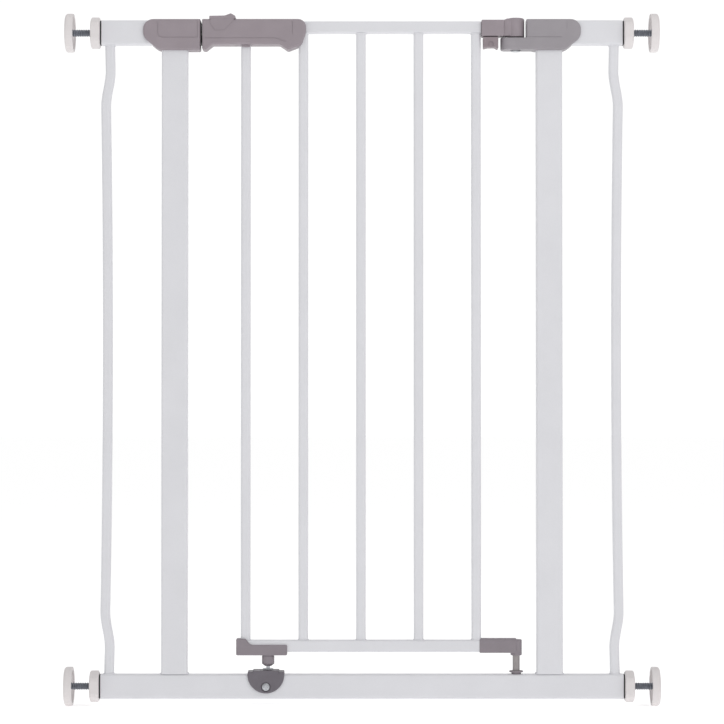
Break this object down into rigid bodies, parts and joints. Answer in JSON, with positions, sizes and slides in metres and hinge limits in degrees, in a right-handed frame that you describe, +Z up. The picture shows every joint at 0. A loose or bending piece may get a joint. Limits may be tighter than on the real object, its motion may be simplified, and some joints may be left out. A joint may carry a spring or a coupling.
{
  "type": "safety baby gate",
  "caption": "Pressure-fit safety gate: tube frame with wall-braced screw adjusters and a barred door that lifts from its catch and swings both ways.",
  "frame": {"origin": "middle of the width and depth, on the floor under the lowest points of the two lower wall cups", "axes": "+X across the doorway from the latch side to the hinge side, -Y the front, +Z up"},
  "size_m": [0.65, 0.0426, 0.7578],
  "materials": {
    "white_coat": "satin white powder coat",
    "grey_plastic": "satin moulded warm grey plastic",
    "catch_plastic": "satin moulded darker grey plastic",
    "dark_plastic": "matte black plastic",
    "pale_plastic": "satin off-white plastic",
    "zinc_steel": "zinc-plated steel"
  },
  "bodies": {
    "frame": {"bottom_tube": "white_coat", "left_upright": "white_coat", "right_upright": "white_coat", "top_left_tube": "white_coat", "top_right_tube": "white_coat", "left_side_bar": "white_coat", "right_side_bar": "white_coat", "tube_plugs": "dark_plastic", "latch_front_cover": "grey_plastic", "latch_rear_cover": "grey_plastic", "striker_insert": "dark_plastic", "hinge_front_cover": "grey_plastic", "hinge_rear_cover": "grey_plastic", "hinge_bush": "dark_plastic", "catch_front": "catch_plastic", "catch_rear": "catch_plastic", "catch_screw": "zinc_steel", "catch_nut": "zinc_steel", "lower_hinge_bush": "grey_plastic", "frame_screws": "zinc_steel"},
    "hinge_pin": {"top_hinge_pin": "zinc_steel"},
    "gate": {"top_rail": "white_coat", "bottom_rail": "white_coat", "bar_1": "white_coat", "bar_2": "white_coat", "bar_3": "white_coat", "bar_4": "white_coat", "bar_5": "white_coat", "handle_front_cover": "grey_plastic", "handle_rear_cover": "grey_plastic", "upper_hinge_bracket": "grey_plastic", "bracket_clip": "catch_plastic", "lower_latch_bracket": "grey_plastic", "latch_pin": "zinc_steel", "lower_hinge_bracket": "grey_plastic", "lower_hinge_rod": "zinc_steel", "gate_screws": "zinc_steel"},
    "slider": {"slide_button": "grey_plastic", "latch_bolt": "dark_plastic", "return_spring": "zinc_steel"},
    "top_left_nut": {"top_left_nut": "pale_plastic"},
    "top_left_adjuster": {"top_left_spindle": "zinc_steel", "top_left_foot": "pale_plastic", "top_left_cup": "pale_plastic"},
    "top_right_nut": {"top_right_nut": "pale_plastic"},
    "top_right_adjuster": {"top_right_spindle": "zinc_steel", "top_right_foot": "pale_plastic", "top_right_cup": "pale_plastic"},
    "bottom_left_nut": {"bottom_left_nut": "pale_plastic"},
    "bottom_left_adjuster": {"bottom_left_spindle": "zinc_steel", "bottom_left_foot": "pale_plastic", "bottom_left_cup": "pale_plastic"},
    "bottom_right_nut": {"bottom_right_nut": "pale_plastic"},
    "bottom_right_adjuster": {"bottom_right_spindle": "zinc_steel", "bottom_right_foot": "pale_plastic", "bottom_right_cup": "pale_plastic"}
  },
  "joints": [
    {"name": "gate_swing", "type": "hinge", "parent": "frame", "child": "hinge_pin", "pos_m": [0.1685, 0, 0.72], "axis": [0, 0, 1], "range_deg": [-90, 90]},
    {"name": "gate_lift", "type": "slide", "parent": "hinge_pin", "child": "gate", "axis": [0, 0, 1], "range_m": [0, 0.008]},
    {"name": "bolt_slide", "type": "slide", "parent": "gate", "child": "slider", "axis": [1, 0, 0], "range_m": [0, 0.009], "stiffness_N_per_m": 400, "springref_m": -0.004, "deforming": ["return_spring"]},
    {"name": "top_left_nut_turn", "type": "hinge", "parent": "frame", "child": "top_left_nut", "pos_m": [-0.292, 0, 0.7365], "axis": [1, 0, 0], "range_deg": [-2540, 2180]},
    {"name": "top_left_reach", "type": "slide", "parent": "frame", "child": "top_left_adjuster", "axis": [-1, 0, 0], "range_m": [-0.0175, 0.015]},
    {"name": "top_right_nut_turn", "type": "hinge", "parent": "frame", "child": "top_right_nut", "pos_m": [0.292, 0, 0.7365], "axis": [-1, 0, 0], "range_deg": [-2540, 2180]},
    {"name": "top_right_reach", "type": "slide", "parent": "frame", "child": "top_right_adjuster", "axis": [1, 0, 0], "range_m": [-0.0175, 0.015]},
    {"name": "bottom_left_nut_turn", "type": "hinge", "parent": "frame", "child": "bottom_left_nut", "pos_m": [-0.292, 0, 0.0213], "axis": [1, 0, 0], "range_deg": [-2540, 2180]},
    {"name": "bottom_left_reach", "type": "slide", "parent": "frame", "child": "bottom_left_adjuster", "axis": [-1, 0, 0], "range_m": [-0.0175, 0.015]},
    {"name": "bottom_right_nut_turn", "type": "hinge", "parent": "frame", "child": "bottom_right_nut", "pos_m": [0.292, 0, 0.0213], "axis": [-1, 0, 0], "range_deg": [-2540, 2180]},
    {"name": "bottom_right_reach", "type": "slide", "parent": "frame", "child": "bottom_right_adjuster", "axis": [1, 0, 0], "range_m": [-0.0175, 0.015]}
  ],
  "couplings": [
    {"joint": "top_left_nut_turn", "follows": "top_left_reach", "rad_per_m": 2513.3},
    {"joint": "top_right_nut_turn", "follows": "top_right_reach", "rad_per_m": 2513.3},
    {"joint": "bottom_left_nut_turn", "follows": "bottom_left_reach", "rad_per_m": 2513.3},
    {"joint": "bottom_right_nut_turn", "follows": "bottom_right_reach", "rad_per_m": 2513.3}
  ]
}
